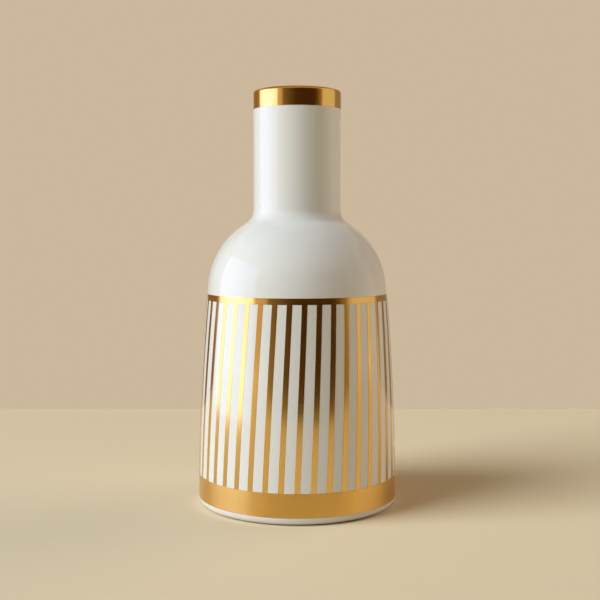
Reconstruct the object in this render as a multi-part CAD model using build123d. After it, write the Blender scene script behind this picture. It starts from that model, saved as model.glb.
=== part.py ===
from build123d import *
from math import atan2, degrees, sqrt
import os

# A glazed stoneware bottle vase with fired gold bands and slanted stripes.
# Millimetres, +Z up, origin on the table at the vase's axis, front towards -Y.

# Clay body, before its coats: a wide heel, a tall wall that swells a little, a round shoulder, a neck
base_radius = 62.5
heel_radius = 4.5
wall_swell_radius = 1665.0
shoulder_radius = 49.6
shoulder_centre_radius = 6.6
shoulder_centre_height = 134.7
neck_fillet_radius = 10.4
neck_radius = 27.2
neck_length = 73.5
wall_thickness = 4.2
lip_edge_share = 0.3

# Floor and foot: a ring to stand on, round a shallow recess
floor_thickness = 5.5
floor_corner_radius = 9.0
foot_ring_width = 7.0
recess_depth = 2.5
recess_corner_share = 0.5
foot_edge_share = 0.3

# Glaze, wiped off the foot so that the clay alone touches the kiln shelf
glaze_thickness = 0.4
foot_wipe_height = 1.0

# Gold, fired onto the glaze, with a hair's breadth left between them
gold_thickness = 0.1
gold_clearance = 0.1
rim_band_height = 11.6
rim_lap_height = 4.0
base_band_rise = 4.9
base_band_height = 14.5
shoulder_ring_height = 3.7

# Stripes between the base band and the shoulder ring, leaning as they climb
stripe_count = 41
stripe_height = 110.1
stripe_width = 3.3
stripe_twist_degrees = 4.45

# How far a cutting shape runs past what it cuts
overrun = 5.0


def bearing(start, end):
    """Angle in degrees of the way from one point of the section to another."""
    return degrees(atan2(end.Y - start.Y, end.X - start.X))


# The section's arcs keep these centres in every coat, so each coat follows the clay at an even depth.
heel_centre = Vector(base_radius - heel_radius, heel_radius)
shoulder_centre = Vector(shoulder_centre_radius, shoulder_centre_height)

# The wall is an arc that holds the heel's circle and the shoulder's circle inside it and touches both.
climb = shoulder_centre - heel_centre
heel_reach = wall_swell_radius - heel_radius
shoulder_reach = wall_swell_radius - shoulder_radius
along_climb = (climb.length**2 + heel_reach**2 - shoulder_reach**2) / (2 * climb.length)
beside_climb = sqrt(heel_reach**2 - along_climb**2)
climb_direction = climb.normalized()
inward = climb_direction.rotate(Axis.Z, 90)
wall_centre = heel_centre + climb_direction * along_climb + inward * beside_climb

# The neck's fillet touches the neck and the shoulder's circle from outside.
fillet_centre_radius = neck_radius + neck_fillet_radius
fillet_run = fillet_centre_radius - shoulder_centre.X
fillet_climb = sqrt((shoulder_radius + neck_fillet_radius) ** 2 - fillet_run**2)
fillet_centre = Vector(fillet_centre_radius, shoulder_centre.Y + fillet_climb)

# Inside, the floor's corner touches the floor and the inner wall.
floor_level = recess_depth + floor_thickness
floor_corner_height = floor_level + floor_corner_radius
corner_reach = wall_swell_radius - wall_thickness - floor_corner_radius
corner_run = sqrt(corner_reach**2 - (floor_corner_height - wall_centre.Y) ** 2)
floor_corner_centre = Vector(wall_centre.X + corner_run, floor_corner_height)

clay_height = fillet_centre.Y + neck_length
lip_edge_radius = wall_thickness * lip_edge_share
foot_outer_radius = heel_centre.X
foot_inner_radius = foot_outer_radius - foot_ring_width
foot_middle_radius = foot_outer_radius - foot_ring_width / 2
gold_seat_depth = glaze_thickness + gold_clearance
gold_depth = gold_seat_depth + gold_thickness


def bowl(offset, corner_centre, corner_radius, top):
    """Half section of what the wall line holds, moved out by offset, from a flat floor up to top."""
    floor = corner_centre.Y - corner_radius
    neck = neck_radius + offset
    corner_angle = bearing(wall_centre, corner_centre)
    shoulder_angle = bearing(wall_centre, shoulder_centre)
    fillet_angle = bearing(shoulder_centre, fillet_centre)
    outline = [
        Line((0, floor), (corner_centre.X, floor)),
        CenterArc(corner_centre, corner_radius, -90, 90 + corner_angle),
        CenterArc(wall_centre, wall_swell_radius + offset, corner_angle, shoulder_angle - corner_angle),
        CenterArc(shoulder_centre, shoulder_radius + offset, shoulder_angle, fillet_angle - shoulder_angle),
        CenterArc(fillet_centre, neck_fillet_radius - offset, fillet_angle + 180, -fillet_angle),
        Line((neck, fillet_centre.Y), (neck, top)),
        Line((neck, top), (0, top)),
        Line((0, top), (0, floor)),
    ]
    return make_face(outline)


def hollow(depth):
    """The inside of the vase, open at the mouth, made smaller by a coat of this depth."""
    top = clay_height + depth + overrun
    return bowl(-wall_thickness - depth, floor_corner_centre, floor_corner_radius - depth, top)


def slab(low, high, radius):
    """Half section of a disc between two heights."""
    return Pos(0, low) * Rectangle(radius, high - low, align=(Align.MIN, Align.MIN))


def foot_recess(depth):
    """The recess under the floor, made smaller by a coat of this depth."""
    recess = slab(-overrun, recess_depth - depth, foot_inner_radius - depth)
    corner = recess.vertices().group_by(Axis.Y)[-1].sort_by(Axis.X)[-1]
    return fillet(corner, recess_depth * recess_corner_share - depth)


def outside(depth):
    """The vase as a full lump, made larger by a coat of this depth."""
    return bowl(depth, heel_centre, heel_radius + depth, clay_height + depth)


def section(depth):
    """Half section of the clay with a coat of this depth all over it."""
    shell = outside(depth) - hollow(depth) - foot_recess(depth)
    lip_corners = shell.vertices().group_by(Axis.Y)[-1]
    return fillet(lip_corners, lip_edge_radius + depth)


def turned(half_section):
    """A solid turned about the vase's axis."""
    return revolve(Plane.XZ * half_section, Axis.Z)


# The clay: its foot's inner edge is eased.
bare_section = section(0)
foot_edge = bare_section.vertices().group_by(Axis.Y)[0].sort_by(Axis.X)[0]
clay_section = fillet(foot_edge, recess_depth * foot_edge_share)

# Coats are parted in the middle of the wall into an outer side and an inner side.
inner_side = hollow(-wall_thickness / 2)
reach = wall_centre.X + wall_swell_radius + gold_depth + overrun
sky = clay_height + gold_depth + overrun

# The glaze: outside, inside, and in the recess under the floor.
glazed_section = section(glaze_thickness)
glaze_coat = (glazed_section - bare_section) & slab(foot_wipe_height, sky, reach)
under_floor = slab(0, floor_level - floor_thickness / 2, foot_middle_radius)

# The gold: bands and stripes that meet end to end outside, and a lap over the lip.
gold_coat = section(gold_depth) - section(gold_seat_depth)
outer_gold = gold_coat - inner_side
inner_gold = gold_coat & inner_side
base_band_top = base_band_rise + base_band_height
stripe_top = base_band_top + stripe_height
shoulder_ring_top = stripe_top + shoulder_ring_height
glazed_height = clay_height + glaze_thickness
rim_outside = outer_gold & slab(glazed_height - rim_band_height, sky, reach)
rim_inside = inner_gold & slab(glazed_height - rim_lap_height, sky, reach)

pieces = {
    "stoneware_body": turned(clay_section),
    "outer_glaze": turned(glaze_coat - inner_side - under_floor),
    "liner_glaze": turned(glaze_coat & inner_side),
    "underside_glaze": turned(glaze_coat & under_floor),
    "gold_rim": turned(rim_outside + rim_inside),
    "gold_shoulder_ring": turned(outer_gold & slab(stripe_top, shoulder_ring_top, reach)),
    "gold_base_band": turned(outer_gold & slab(base_band_rise, base_band_top, reach)),
}

# A stripe is what a thin upright blade, turning a little about the axis as it climbs, cuts from the gold.
blade_section = Rectangle(reach, stripe_width, align=(Align.MIN, Align.CENTER))
blade_foot = Pos(0, 0, base_band_top) * Rot(0, 0, -90) * blade_section
blade_head = Pos(0, 0, stripe_top) * Rot(0, 0, stripe_twist_degrees - 90) * blade_section
blade = loft([blade_foot, blade_head], ruled=True)
stripe = (blade & turned(outside(gold_depth))) - turned(outside(gold_seat_depth))

for number in range(stripe_count):
    pieces[f"gold_stripe_{number + 1:02d}"] = Rot(0, 0, 360 * number / stripe_count) * stripe

os.makedirs("parts", exist_ok=True)
for name, piece in pieces.items():
    export_step(piece, f"parts/{name}.step")
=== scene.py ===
import bmesh
import bpy
from math import asin, atan2, ceil, cos, pi, radians, sin, sqrt, tau
from mathutils import Matrix, Vector
from mathutils.geometry import intersect_sphere_sphere_2d


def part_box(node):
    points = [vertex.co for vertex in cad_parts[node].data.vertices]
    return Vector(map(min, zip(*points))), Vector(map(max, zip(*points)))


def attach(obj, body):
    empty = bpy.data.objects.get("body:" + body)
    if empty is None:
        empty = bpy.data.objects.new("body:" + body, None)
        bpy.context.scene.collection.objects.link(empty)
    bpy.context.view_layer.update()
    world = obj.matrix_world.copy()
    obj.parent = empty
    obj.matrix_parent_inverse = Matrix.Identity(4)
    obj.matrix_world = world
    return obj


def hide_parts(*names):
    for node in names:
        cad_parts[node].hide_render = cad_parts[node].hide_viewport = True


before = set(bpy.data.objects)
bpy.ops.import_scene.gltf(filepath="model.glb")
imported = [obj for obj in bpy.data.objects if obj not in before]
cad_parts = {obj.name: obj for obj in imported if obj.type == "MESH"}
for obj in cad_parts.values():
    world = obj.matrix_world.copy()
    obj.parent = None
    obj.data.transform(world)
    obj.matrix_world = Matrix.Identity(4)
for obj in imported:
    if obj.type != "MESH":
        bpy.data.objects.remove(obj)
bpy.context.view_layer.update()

# Clay body: one slip-cast stoneware shell with its floor, foot ring, shoulder, neck and lip.
# The coats hide it but for the foot, which is wiped clean so that it doesn't stick to the kiln shelf.
# Bare fired clay is matte and warm, with a fine sandy grain and a few darker specks.


class Wire:
    """An output in a shader tree: sums on wires add Math nodes, and node() adds any other node."""

    def __init__(self, tree, socket=None):
        self.tree = tree
        self.socket = socket

    def node(self, kind, settings=(), inputs=(), output=0):
        made = self.tree.nodes.new("ShaderNode" + kind)
        for name, value in dict(settings).items():
            setattr(made, name, value)
        for name, value in dict(inputs).items():
            if isinstance(value, Wire):
                self.tree.links.new(value.socket, made.inputs[name])
            else:
                made.inputs[name].default_value = value
        return Wire(self.tree, made.outputs[output]) if made.outputs else None

    def math(self, operation, *values):
        return self.node("Math", {"operation": operation}, dict(enumerate(values)))

    def __add__(self, other):
        return self.math("ADD", self, other)

    def __sub__(self, other):
        return self.math("SUBTRACT", self, other)

    def __rsub__(self, other):
        return self.math("SUBTRACT", other, self)

    def __mul__(self, other):
        return self.math("MULTIPLY", self, other)

    def __truediv__(self, other):
        return self.math("DIVIDE", self, other)

    __radd__ = __add__
    __rmul__ = __mul__

    def axis(self, name):
        """One of the three numbers of the place that this wire gives."""
        return self.node("SeparateXYZ", inputs={0: self}, output=name)

    def ramp(self, low, high):
        """0 up to the low value and 1 from the high one, with an eased climb between."""
        limits = {"Value": self, "From Min": low, "From Max": high}
        return self.node("MapRange", {"interpolation_type": "SMOOTHSTEP"}, limits)

    def mixed(self, first, second):
        """A colour between two others, with this wire as the share of the second."""
        # The colour sockets go by number, because sockets of other types share their names.
        return self.node("Mix", {"data_type": "RGBA"}, {0: self, 6: first, 7: second}, output=2)

    def noise(self, scale, detail=2.0):
        """Cloudy noise at the place that this wire gives, with about scale waves to a metre."""
        return self.node("TexNoise", inputs={"Vector": self, "Scale": scale, "Detail": detail})

    def bump(self, depth):
        """A surface normal from this wire as a height, with this depth in metres."""
        return self.node("Bump", inputs={"Height": self, "Distance": depth})


def blank_finish(name):
    """An empty material, and a wire of the places on the piece that wears it."""
    finish = bpy.data.materials.new(name)
    finish.use_nodes = True
    finish.node_tree.nodes.clear()
    place = Wire(finish.node_tree).node("TexCoord", output="Object")
    return finish, place


def surface(place, inputs):
    """Closes a material's tree with its shader."""
    shader = place.node("BsdfPrincipled", inputs=inputs)
    place.node("OutputMaterial", inputs={"Surface": shader})


def wear(node, finish):
    """Gives a node of the vase its finish."""
    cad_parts[node].data.materials.clear()
    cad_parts[node].data.materials.append(finish)


dark_sand = (0.70, 0.63, 0.54, 1)
pale_sand = (0.82, 0.77, 0.69, 1)
speck_brown = (0.42, 0.31, 0.22, 1)
grain_waves = 1400
grain_depth = 0.00008
speck_waves = 650
speck_fade = (0.66, 0.74)
clay_roughness = 0.75
grain_roughness = 0.2

clay_finish, place = blank_finish("bare_stoneware")
grain = place.noise(grain_waves, detail=3.0)
specks = place.noise(speck_waves).ramp(*speck_fade)
surface(place, {
    "Base Color": specks.mixed(grain.mixed(dark_sand, pale_sand), speck_brown),
    "Roughness": clay_roughness + grain * grain_roughness,
    "Normal": grain.bump(grain_depth),
})
wear("stoneware_body", clay_finish)

# Outer glaze: a white gloss coat, sprayed over the outside from just above the foot to the lip.
# Fired glaze is a thin glass. It lies a little uneven, which makes its reflections wander,
# and it thins to a warmer tone at the lip and at the wiped edge over the foot.

clay_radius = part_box("stoneware_body")[1].x
clay_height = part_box("stoneware_body")[1].z
heel_radius = 0.0045
wall_radius = 1.665
shoulder_radius = 0.0496
neck_radius = 0.0272
neck_fillet_radius = 0.0104
wall_thickness = 0.0042
lip_radius = 0.00126
glaze_depth = 0.0004

heel_centre = Vector((clay_radius - heel_radius, heel_radius))
shoulder_centre = Vector((0.0066, 0.1347))
wall_centres = intersect_sphere_sphere_2d(
    heel_centre, wall_radius - heel_radius, shoulder_centre, wall_radius - shoulder_radius
)
wall_centre = min(wall_centres, key=lambda centre: centre.x)
fillet_x = neck_radius + neck_fillet_radius
fillet_climb = sqrt((shoulder_radius + neck_fillet_radius) ** 2 - (fillet_x - shoulder_centre.x) ** 2)
fillet_centre = Vector((fillet_x, shoulder_centre.y + fillet_climb))
lip_height = clay_height - lip_radius
lip_outer_centre = Vector((neck_radius - lip_radius, lip_height))
lip_inner_centre = Vector((neck_radius - wall_thickness + lip_radius, lip_height))
lip_width = lip_outer_centre.x - lip_inner_centre.x


def bearing(start, end):
    """Angle of the way from one point of the section to another."""
    return atan2(end.y - start.y, end.x - start.x)


heel_angle = bearing(wall_centre, heel_centre)
shoulder_angle = bearing(wall_centre, shoulder_centre)
fillet_angle = bearing(shoulder_centre, fillet_centre)


def angle_at(height, centre, radius):
    """Angle at which the right side of a section's circle passes a height."""
    return asin((height - centre.y) / radius)


def point_on(centre, radius, angle):
    """The point of a section's circle at this angle."""
    return centre + Vector((cos(angle), sin(angle))) * radius


def section(start, *moves):
    """A chain of edges in the XZ plane: a move is a straight run, or a centre and the turn about it."""
    arc_step = radians(3)
    run_step = 0.005
    mesh = bmesh.new()
    end = mesh.verts.new((start.x, 0, start.y))
    for move in moves:
        if isinstance(move, Vector):
            end = bmesh.ops.extrude_vert_indiv(mesh, verts=[end])["verts"][0]
            bmesh.ops.translate(mesh, verts=[end], vec=(move.x, 0, move.y))
            continue
        centre, turn = move
        reach = (Vector((end.co.x, end.co.z)) - centre).length
        steps = ceil(abs(turn) * max(1 / arc_step, reach / run_step))
        hub = (centre.x, 0, centre.y)
        arc = bmesh.ops.spin(mesh, geom=[end], cent=hub, axis=(0, -1, 0), angle=turn, steps=steps)
        end = next(part for part in arc["geom_last"] if isinstance(part, bmesh.types.BMVert))
    return mesh


def turned(mesh, depth):
    """Turns a section about the vase's axis and gives the skin its depth behind its face."""
    spokes = 256
    merge_distance = 1e-6
    chain = mesh.verts[:] + mesh.edges[:]
    bmesh.ops.spin(mesh, geom=chain, axis=(0, 0, 1), angle=tau, steps=spokes, use_merge=True)
    bmesh.ops.remove_doubles(mesh, verts=mesh.verts, dist=merge_distance)
    bmesh.ops.recalc_face_normals(mesh, faces=mesh.faces)
    bmesh.ops.solidify(mesh, geom=mesh.faces, thickness=depth)
    return mesh


def piece(name, mesh, finish, node):
    """Makes a finished mesh the piece that stands for a node of the vase."""
    sharp_angle = radians(40)
    made = bpy.data.objects.new(name, bpy.data.meshes.new(name))
    mesh.to_mesh(made.data)
    mesh.free()
    made.data.materials.append(finish)
    made.data.shade_smooth()
    made.data.set_sharp_from_angle(angle=sharp_angle)
    bpy.context.scene.collection.objects.link(made)
    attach(made, "root")
    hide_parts(node)


def ripple(place):
    """Normal of the glaze's uneven face, which the gold over it shares."""
    ripple_waves = 45
    ripple_depth = 0.00006
    return place.noise(ripple_waves, detail=1.0).bump(ripple_depth)


cool_white = (0.775, 0.78, 0.775, 1)
warm_white = (0.805, 0.805, 0.795, 1)
thin_glaze_tone = (0.66, 0.58, 0.48, 1)
thin_glaze_share = 0.6
wipe_fade = (0.0011, 0.0026)
lip_fade = (0.2585, 0.2598)
cloud_waves = 22
glaze_roughness = 0.02
cloud_roughness = 0.06

glaze_finish, place = blank_finish("white_glaze")
height = place.axis("Z")
clouds = place.noise(cloud_waves)
white = clouds.mixed(cool_white, warm_white)
thick = height.ramp(*wipe_fade) * (1 - height.ramp(*lip_fade))
thin = thin_glaze_share - thick * thin_glaze_share
surface(place, {
    "Base Color": thin.mixed(white, thin_glaze_tone),
    "Roughness": glaze_roughness + clouds * cloud_roughness,
    "Normal": ripple(place),
    "IOR": 1.5,
})

wipe_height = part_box("outer_glaze")[0].z
wipe_angle = angle_at(wipe_height, heel_centre, heel_radius + glaze_depth)
outside = section(
    point_on(heel_centre, heel_radius + glaze_depth, wipe_angle),
    (heel_centre, heel_angle - wipe_angle),
    (wall_centre, shoulder_angle - heel_angle),
    (shoulder_centre, fillet_angle - shoulder_angle),
    (fillet_centre, -fillet_angle),
    Vector((0, lip_height - fillet_centre.y)),
    (lip_outer_centre, pi / 2),
    Vector((-lip_width / 2, 0)),
)
piece("glaze_outside", turned(outside, glaze_depth), glaze_finish, "outer_glaze")

# Liner glaze: the same glaze, poured in, swirled round and tipped out, which makes the vase hold water.
# It covers the inside from the floor, whose corner is rounded, to the middle of the lip.

floor_corner_radius = 0.009
floor_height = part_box("liner_glaze")[0].z
corner_height = floor_height + floor_corner_radius
corner_reach = wall_radius - wall_thickness - floor_corner_radius
corner_centre = point_on(wall_centre, corner_reach, angle_at(corner_height, wall_centre, corner_reach))
corner_angle = bearing(wall_centre, corner_centre)
inside = section(
    Vector((0, floor_height + glaze_depth)),
    Vector((corner_centre.x, 0)),
    (corner_centre, pi / 2 + corner_angle),
    (wall_centre, shoulder_angle - corner_angle),
    (shoulder_centre, fillet_angle - shoulder_angle),
    (fillet_centre, -fillet_angle),
    Vector((0, lip_height - fillet_centre.y)),
    (lip_inner_centre, -pi / 2),
    Vector((lip_width / 2, 0)),
)
piece("glaze_inside", turned(inside, glaze_depth), glaze_finish, "liner_glaze")

# Underside glaze: what the spray left in the shallow recess under the floor, inside the bare foot ring.
# Nobody sees it with the vase standing, so its plain turned shape is kept.

wear("underside_glaze", glaze_finish)

# Gold bands: bright gold lustre, brushed on over the fired glaze while the vase turns, and fired again.
# One laps over the lip, one rings the shoulder and a wide one runs above the heel. The streaks of the brush
# draw out the wide band's shine, and the film thins to brown along its edges.

gold_proud = 0.0001
gold_skin = 0.00012
gold_depth = glaze_depth + gold_proud


def gold_lustre(name, streak_scale, edge_distance, satin=0.08, brushed=0):
    """Gold with brush streaks, browner where it thins near the edges that edge_distance(place) measures."""
    deep_gold = (0.88, 0.53, 0.14, 1)
    pale_gold = (0.93, 0.59, 0.18, 1)
    thin_gold = (0.50, 0.25, 0.05, 1)
    thin_share = 0.3
    edge_fade = 0.0003
    streak_roughness = 0.08
    mottle_waves = 60
    mottle_roughness = 0.05
    quarter_turn = 0.25
    finish, place = blank_finish(name)
    streaks = place.node("Mapping", inputs={"Vector": place, "Scale": streak_scale}).noise(1, detail=3.0)
    mottle = place.noise(mottle_waves)
    full = edge_distance(place).ramp(0, edge_fade)
    thin = thin_share - full * thin_share
    surface(place, {
        "Base Color": thin.mixed(streaks.mixed(deep_gold, pale_gold), thin_gold),
        "Metallic": 1,
        "Roughness": satin + streaks * streak_roughness + mottle * mottle_roughness,
        "Normal": ripple(place),
        "Anisotropic": brushed,
        "Anisotropic Rotation": quarter_turn,
    })
    return finish


def band_edges(node):
    """Measures how far a place on a band is from the band's lower or upper edge."""
    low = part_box(node)[0].z
    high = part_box(node)[1].z

    def edge_distance(place):
        height = place.axis("Z")
        return height.math("MINIMUM", height - low, high - height)

    return edge_distance


def wall_section(low, high):
    """The stretch of the gilded wall line between two heights."""
    gilt_radius = wall_radius + gold_depth
    low_angle = angle_at(low, wall_centre, gilt_radius)
    high_angle = angle_at(high, wall_centre, gilt_radius)
    return section(point_on(wall_centre, gilt_radius, low_angle), (wall_centre, high_angle - low_angle))


round_streaks = (25, 25, 1500)
ring_finish = gold_lustre("gold_shoulder_ring", round_streaks, band_edges("gold_shoulder_ring"))
base_edges = band_edges("gold_base_band")
base_finish = gold_lustre("gold_base_band", round_streaks, base_edges, satin=0.24, brushed=0.9)
for node, finish in (("gold_shoulder_ring", ring_finish), ("gold_base_band", base_finish)):
    band = turned(wall_section(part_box(node)[0].z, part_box(node)[1].z), gold_skin)
    piece(node.replace("gold", "gilt"), band, finish, node)

rim_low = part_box("gold_rim")[0].z
rim_lap = 0.004
rim = section(
    Vector((neck_radius + gold_depth, rim_low)),
    Vector((0, lip_height - rim_low)),
    (lip_outer_centre, pi / 2),
    Vector((-lip_width, 0)),
    (lip_inner_centre, pi / 2),
    Vector((0, clay_height + glaze_depth - rim_lap - lip_height)),
)
rim_finish = gold_lustre("gold_rim", round_streaks, band_edges("gold_rim"))
piece("gilt_rim", turned(rim, gold_skin), rim_finish, "gold_rim")

# Gold stripes: 41 stripes of the same lustre, laid as strips from the base band up to the shoulder ring.
# They are of one width, spaced evenly round the wall, and all lean the same way as they climb.

stripe_count = 41
stripe_turn = radians(4.45)
stripe_width = 0.0033
stripe_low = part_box("gold_base_band")[1].z
stripe_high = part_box("gold_shoulder_ring")[0].z
stripe_pitch = tau / stripe_count
front = -pi / 2


def stripe_edges(place):
    """How far a place on the stripes is from the nearer long edge of its stripe."""
    x, y, height = [place.axis(name) for name in "XYZ"]
    climb = (height - stripe_low) / (stripe_high - stripe_low)
    turn = x.math("ARCTAN2", y, x) - front - climb * stripe_turn
    # The added round keeps steps above 0, and the half puts the middle of each stripe at a half.
    steps = turn / stripe_pitch + (stripe_count + 0.5)
    off_centre = steps.math("FRACT", steps) - 0.5
    radius = x.math("SQRT", x * x + y * y)
    return stripe_width / 2 - off_centre.math("ABSOLUTE", off_centre) * stripe_pitch * radius


def leaning_strip(number):
    """One stripe: a flat strip with the wall's line, bent round the vase and leant."""
    faces_across = 4
    mesh = wall_section(stripe_low, stripe_high)
    line = mesh.verts[:] + mesh.edges[:]
    step = Vector((0, -stripe_width / faces_across, 0))
    bmesh.ops.translate(mesh, verts=mesh.verts, vec=(0, stripe_width / 2, 0))
    bmesh.ops.spin(mesh, geom=line, axis=(0, 0, 1), angle=0, dvec=step, steps=faces_across)
    for vert in mesh.verts:
        radius, off_centre, height = vert.co
        climb = (height - stripe_low) / (stripe_high - stripe_low)
        turn = front + number * stripe_pitch + climb * stripe_turn + off_centre / radius
        vert.co = (radius * cos(turn), radius * sin(turn), height)
    mesh.normal_update()
    bmesh.ops.solidify(mesh, geom=mesh.faces, thickness=gold_skin)
    return mesh


long_streaks = (900, 900, 25)
stripe_finish = gold_lustre("gold_stripes", long_streaks, stripe_edges)
for number in range(stripe_count):
    node = f"gold_stripe_{number + 1:02d}"
    piece(node.replace("gold", "gilt"), leaning_strip(number), stripe_finish, node)

# Stage: a plain pale floor, and the camera where the photo was taken from. A large soft key on the left and
# a fill behind on the right light the vase and aren't reflected in it. Smaller panels and flags, which the
# camera doesn't see, are only reflected, and give the gold its highlights, dark middle and brown sides.


def card(name, place, width, height, finish):
    """A flat sheet that belongs to the stage."""
    mesh = bmesh.new()
    shape = place @ Matrix.Diagonal((width, height, 1, 1))
    bmesh.ops.create_grid(mesh, x_segments=1, y_segments=1, size=0.5, matrix=shape)
    made = bpy.data.objects.new(name, bpy.data.meshes.new(name))
    mesh.to_mesh(made.data)
    mesh.free()
    made.data.materials.append(finish)
    bpy.context.scene.collection.objects.link(made)
    return made


floor_side = 6
floor_back = 0.337
floor_waves = 6
floor_tan = (0.85, 0.72, 0.51, 1)
floor_cream = (0.88, 0.75, 0.53, 1)
floor_finish, place = blank_finish("pale_floor")
floor_tone = place.noise(floor_waves).mixed(floor_tan, floor_cream)
surface(place, {"Base Color": floor_tone, "Roughness": 0.7, "Specular IOR Level": 0.15})
floor_place = Matrix.Translation((0, floor_back - floor_side / 2, 0))
card("floor", floor_place, floor_side, floor_side, floor_finish)


def facing(side, rise, distance):
    """A place at these angles, in degrees, from the front and from the floor, turned to face the vase."""
    across = cos(radians(rise))
    away = Vector((sin(radians(side)) * across, -cos(radians(side)) * across, sin(radians(rise))))
    turn = (-away).to_track_quat("-Z", "Y").to_matrix().to_4x4()
    return Matrix.Translation(Vector((0, 0, clay_height / 2)) + away * distance) @ turn


def flag(name, place, width, height, finish):
    """A card that shows in the gold and the glaze alone."""
    made = card(name, place, width, height, finish)
    made.visible_camera = False
    made.visible_diffuse = False
    made.visible_shadow = False


def dull_finish(name, colour):
    """A matte finish of one colour, for a flag."""
    finish, place = blank_finish(name)
    surface(place, {"Base Color": colour, "Roughness": 1})
    return finish


dark_middle = (0.09, 0.048, 0.008, 1)
olive_left = (0.40, 0.33, 0.20, 1)
tan_right = (0.55, 0.42, 0.22, 1)
left_fade = (-0.5, 0.05)
right_fade = (0.45, 0.8)
dark_finish, place = blank_finish("dark_card")
across = place.axis("X")
shade = across.ramp(*left_fade).mixed(olive_left, dark_middle)
shade = across.ramp(*right_fade).mixed(shade, tan_right)
surface(place, {"Base Color": shade, "Roughness": 1})
tan_finish = dull_finish("tan_card", (0.68, 0.55, 0.41, 1))
brown_finish = dull_finish("brown_card", (0.37, 0.29, 0.22, 1))
flag("front_flag", facing(side=14, rise=12.5, distance=0.6), width=1.43, height=0.56, finish=dark_finish)
flag("left_flag", facing(side=-136, rise=6, distance=1.5), width=1.1, height=1.6, finish=tan_finish)
flag("ceiling_flag", facing(side=0, rise=90, distance=1.2), width=2.2, height=2.2, finish=tan_finish)
flag("right_flag", facing(side=135, rise=6, distance=1.5), width=1.15, height=1.6, finish=brown_finish)


def panel(name, place, width, height, colour, radiance=1.0):
    """A soft light panel, whose brightness is radiance times its colour."""
    lamp = bpy.data.lights.new(name, "AREA")
    lamp.shape = "RECTANGLE"
    lamp.size = width
    lamp.size_y = height
    lamp.energy = radiance * pi * width * height
    lamp.color = colour
    made = bpy.data.objects.new(name, lamp)
    made.matrix_world = place
    made.visible_camera = False
    bpy.context.scene.collection.objects.link(made)
    return made


soft_blue = (0.4, 0.6, 1.0)
bright_blue = (0.95, 1.2, 2.15)
daylight = (0.88, 0.96, 1.0)
dim_blue = (0.08, 0.14, 0.2)
lamplight = (1.0, 0.82, 0.65)
core_place = facing(side=-83, rise=8, distance=1.0)
shine_place = facing(side=-81, rise=8.5, distance=0.5)
key_place = facing(side=-67, rise=33, distance=8.0)
glow_place = facing(side=92, rise=12, distance=1.2)
fill_place = facing(side=116, rise=14, distance=4.0)
core = panel("key_core", core_place, width=0.5, height=0.46, colour=soft_blue)
shine = panel("key_shine", shine_place, width=0.54, height=0.44, colour=bright_blue)
key = panel("key_light", key_place, width=4.8, height=8.6, colour=daylight, radiance=6.35)
glow = panel("right_shine", glow_place, width=0.97, height=1.1, colour=dim_blue)
fill = panel("fill_light", fill_place, width=3.2, height=3.2, colour=lamplight, radiance=2.9)
for reflected in (core, shine, glow):
    reflected.visible_diffuse = False
for unreflected in (key, fill):
    unreflected.visible_glossy = False

# The camera and all reflections get the backdrop's tone. Diffuse light gets the room's dimmer one.
room_tone = (0.11, 0.08, 0.05, 1)
backdrop_tone = (0.60, 0.48, 0.335, 1)
world = bpy.data.worlds.new("studio")
bpy.context.scene.world = world
world.use_nodes = True
world.node_tree.nodes.clear()
sky = Wire(world.node_tree)
seen = sky.node("LightPath", output="Is Camera Ray")
for ray in ("Is Glossy Ray", "Is Transmission Ray"):
    seen = seen.math("MAXIMUM", seen, sky.node("LightPath", output=ray))
light = sky.node("Background", inputs={"Color": seen.mixed(room_tone, backdrop_tone)})
sky.node("OutputWorld", inputs={"Surface": light})

camera = bpy.data.objects.new("camera", bpy.data.cameras.new("camera"))
camera.data.lens = 60.93
camera.data.sensor_width = 36
camera.location = (0.00172, -0.64572, 0.17134)
camera.rotation_euler = (radians(86.218), 0, 0)
bpy.context.scene.collection.objects.link(camera)
bpy.context.scene.camera = camera
bpy.context.scene.view_settings.view_transform = "Standard"
